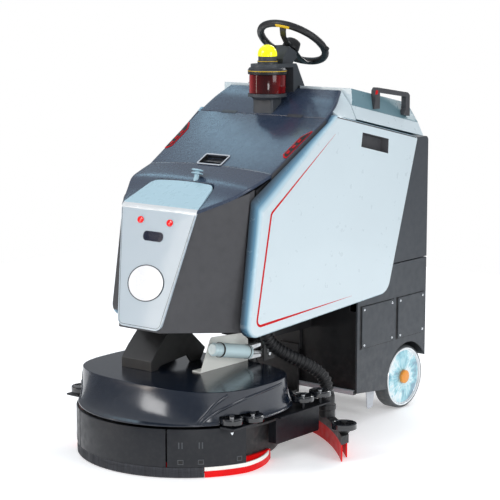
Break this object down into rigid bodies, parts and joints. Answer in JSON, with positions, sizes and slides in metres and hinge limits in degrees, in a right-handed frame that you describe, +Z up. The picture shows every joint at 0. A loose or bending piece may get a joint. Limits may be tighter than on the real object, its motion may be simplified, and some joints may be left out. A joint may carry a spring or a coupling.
{
  "type": "robotic floor scrubber",
  "caption": "Driverless floor scrubber with a domed brush deck, red-bladed squeegee, sloping hood, scanner tower, steering wheel and lift-off tank lid.",
  "frame": {"origin": "on the floor, under the middle of the machine's bounding box", "axes": "+Z up, -Y towards the brush deck (front), +X to the machine's left as its operator looks forward"},
  "size_m": [1.124, 1.482, 1.5183],
  "materials": {
    "black_steel": "satin black paint",
    "black_plastic": "textured black",
    "grey_cover": "satin dark grey",
    "white_panel": "gloss off-white",
    "dark_shell": "fine-grained matte dark grey",
    "silver_fascia": "silver-white",
    "slate_gloss": "glossy dark slate",
    "black_gloss": "glossy near-black",
    "red_window": "deep red glossy window",
    "yellow_lens": "bright yellow lens",
    "black_rubber": "black ribbed rubber",
    "bright_metal": "bright silver",
    "grey_tyre": "dark grey rubber tread",
    "bright_rim": "bright reflective disc",
    "satin_ring": "satin dark grey",
    "bristle": "dense dark bristle",
    "red_rubber": "red squeegee rubber",
    "light_band": "light grey paint",
    "white_steel": "off-white painted sheet"
  },
  "bodies": {
    "chassis": {"chassis_frame": "black_steel", "battery_pack": "black_plastic", "drive_motors": "black_steel", "lower_covers": "grey_cover", "access_doors": "grey_cover", "rear_cover": "grey_cover", "tank_body": "grey_cover", "bay_units": "black_plastic", "side_panel_right": "white_panel", "side_panel_left": "white_panel", "front_shell": "dark_shell", "front_fascia": "silver_fascia", "front_cap": "slate_gloss", "front_sensors": "black_gloss", "top_cover": "slate_gloss", "lidar_housing": "dark_shell", "lidar_window": "red_window", "steering_column": "dark_shell", "beacon_dome": "yellow_lens", "suction_hose": "black_rubber"},
    "hood": {"hood_lid": "slate_gloss"},
    "knob": {"lock_knob": "bright_metal"},
    "tank_cover": {"tank_lid": "white_panel", "lid_handles": "dark_shell"},
    "steering": {"steering_wheel": "black_plastic"},
    "fork": {"steer_fork": "black_steel"},
    "drive_wheel": {"drive_tyre": "black_rubber", "drive_hub": "black_steel"},
    "rear_wheel_right": {"rear_tyre_right": "grey_tyre", "rear_hub_right": "bright_rim"},
    "rear_wheel_left": {"rear_tyre_left": "grey_tyre", "rear_hub_left": "bright_rim"},
    "deck": {"deck_panel_front": "satin_ring", "deck_panel_right": "satin_ring", "deck_panel_left": "satin_ring", "bristle_strip": "bristle", "splash_lip": "red_rubber", "deck_plate": "light_band", "deck_dome": "black_gloss", "brush_motors": "black_steel", "side_guard_right": "black_plastic", "side_guard_left": "black_plastic", "lift_bracket": "black_steel", "lift_stay": "white_steel", "lift_actuator": "bright_metal"},
    "brush_r": {"brush_right": "bristle"},
    "brush_l": {"brush_left": "bristle"},
    "squeegee": {"squeegee_beam": "black_steel", "squeegee_blades": "red_rubber", "suction_elbow": "black_plastic"},
    "body_roller_right_1": {"roller_right_1": "black_gloss"},
    "body_roller_right_2": {"roller_right_2": "black_gloss"},
    "body_roller_right_3": {"roller_right_3": "black_gloss"},
    "body_roller_right_4": {"roller_right_4": "black_gloss"},
    "body_roller_left_1": {"roller_left_1": "black_gloss"},
    "body_roller_left_2": {"roller_left_2": "black_gloss"},
    "body_roller_left_3": {"roller_left_3": "black_gloss"},
    "body_roller_left_4": {"roller_left_4": "black_gloss"},
    "body_squeegee_roller_right": {"squeegee_roller_right": "black_gloss"},
    "body_squeegee_roller_left": {"squeegee_roller_left": "black_gloss"}
  },
  "joints": [
    {"name": "hood_open", "type": "hinge", "parent": "chassis", "child": "hood", "pos_m": [0, 0.078, 1.1765], "axis": [-1, 0, 0], "range_deg": [0, 75]},
    {"name": "lock_turn", "type": "hinge", "parent": "chassis", "child": "knob", "pos_m": [0.036, -0.333, 0.972], "axis": [0, 0.2588, 0.9659], "range_deg": [0, 90]},
    {"name": "tank_lid_lift", "type": "slide", "parent": "chassis", "child": "tank_cover", "axis": [0, 0, 1], "range_m": [0, 0.065]},
    {"name": "steer_turn", "type": "hinge", "parent": "chassis", "child": "steering", "pos_m": [0, 0.265, 1.431], "axis": [0, 0.5664, 0.8241], "range_deg": [-90, 90]},
    {"name": "fork_swivel", "type": "hinge", "parent": "chassis", "child": "fork", "pos_m": [0, 0.012, 0.095], "axis": [0, 0, 1], "range_deg": [-55, 55]},
    {"name": "drive_wheel_spin", "type": "hinge", "parent": "fork", "child": "drive_wheel", "pos_m": [0, 0.012, 0.095], "axis": [1, 0, 0], "continuous": true},
    {"name": "rear_wheel_right_spin", "type": "hinge", "parent": "chassis", "child": "rear_wheel_right", "pos_m": [0.2625, 0.612, 0.125], "axis": [1, 0, 0], "continuous": true},
    {"name": "rear_wheel_left_spin", "type": "hinge", "parent": "chassis", "child": "rear_wheel_left", "pos_m": [-0.2625, 0.612, 0.125], "axis": [1, 0, 0], "continuous": true},
    {"name": "deck_lift", "type": "slide", "parent": "chassis", "child": "deck", "axis": [0, 0, 1], "range_m": [0, 0.035]},
    {"name": "brush_right_spin", "type": "hinge", "parent": "deck", "child": "brush_r", "pos_m": [0.156, -0.4, 0.06], "axis": [0, 0, 1], "continuous": true},
    {"name": "brush_left_spin", "type": "hinge", "parent": "deck", "child": "brush_l", "pos_m": [-0.156, -0.4, 0.06], "axis": [0, 0, 1], "continuous": true},
    {"name": "squeegee_lift", "type": "slide", "parent": "chassis", "child": "squeegee", "axis": [0, 0, 1], "range_m": [0, 0.035], "deforming": ["suction_hose"]},
    {"name": "roller_right_1_spin", "type": "hinge", "parent": "deck", "child": "body_roller_right_1", "pos_m": [0.354, -0.52, 0.2], "axis": [0, 0, 1], "continuous": true},
    {"name": "roller_right_2_spin", "type": "hinge", "parent": "deck", "child": "body_roller_right_2", "pos_m": [0.383, -0.443, 0.2], "axis": [0, 0, 1], "continuous": true},
    {"name": "roller_right_3_spin", "type": "hinge", "parent": "deck", "child": "body_roller_right_3", "pos_m": [0.371, -0.146, 0.2], "axis": [0, 0, 1], "continuous": true},
    {"name": "roller_right_4_spin", "type": "hinge", "parent": "deck", "child": "body_roller_right_4", "pos_m": [0.374, -0.05, 0.2], "axis": [0, 0, 1], "continuous": true},
    {"name": "roller_left_1_spin", "type": "hinge", "parent": "deck", "child": "body_roller_left_1", "pos_m": [-0.354, -0.52, 0.2], "axis": [0, 0, 1], "continuous": true},
    {"name": "roller_left_2_spin", "type": "hinge", "parent": "deck", "child": "body_roller_left_2", "pos_m": [-0.383, -0.443, 0.2], "axis": [0, 0, 1], "continuous": true},
    {"name": "roller_left_3_spin", "type": "hinge", "parent": "deck", "child": "body_roller_left_3", "pos_m": [-0.371, -0.146, 0.2], "axis": [0, 0, 1], "continuous": true},
    {"name": "roller_left_4_spin", "type": "hinge", "parent": "deck", "child": "body_roller_left_4", "pos_m": [-0.374, -0.05, 0.2], "axis": [0, 0, 1], "continuous": true},
    {"name": "squeegee_roller_right_spin", "type": "hinge", "parent": "squeegee", "child": "body_squeegee_roller_right", "pos_m": [0.517, -0.09763, 0.115], "axis": [0, 0, 1], "continuous": true},
    {"name": "squeegee_roller_left_spin", "type": "hinge", "parent": "squeegee", "child": "body_squeegee_roller_left", "pos_m": [-0.517, -0.09763, 0.115], "axis": [0, 0, 1], "continuous": true}
  ],
  "couplings": [
    {"joint": "fork_swivel", "follows": "steer_turn", "ratio": 0.6}
  ]
}
